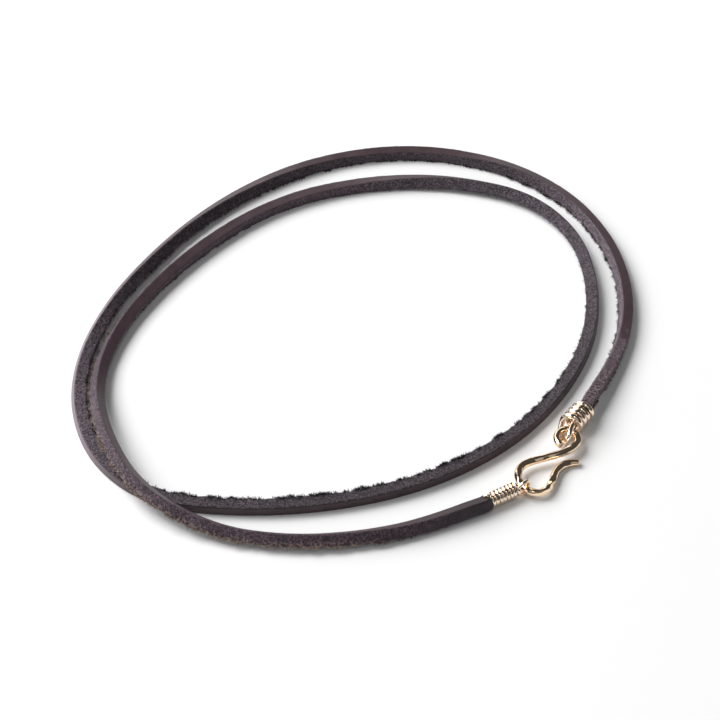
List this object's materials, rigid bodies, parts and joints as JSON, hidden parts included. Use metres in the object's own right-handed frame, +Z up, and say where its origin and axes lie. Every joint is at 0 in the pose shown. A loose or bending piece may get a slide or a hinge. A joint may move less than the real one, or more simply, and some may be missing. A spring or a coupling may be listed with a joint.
{
  "type": "leather cord necklace",
  "caption": "Near-square leather lace that goes round twice, with a coiled wire end on each side, closed in front by an S-shaped wire hook.",
  "frame": {"origin": "middle of the necklace's outline, on the table that it lies on", "axes": "+Z up from the table, the clasp lies at +X and -Y, and +Y points away from it across the neck opening"},
  "size_m": [0.1341, 0.1391, 0.0063],
  "materials": {
    "lace_leather": "smooth grain side, napped cut edges",
    "gold_wire": "polished gold tone, hammered on the hook"
  },
  "bodies": {
    "root": {"leather_cord": "lace_leather", "eye_wrap": "gold_wire", "loop_wrap": "gold_wire", "s_hook": "gold_wire"}
  },
  "joints": []
}
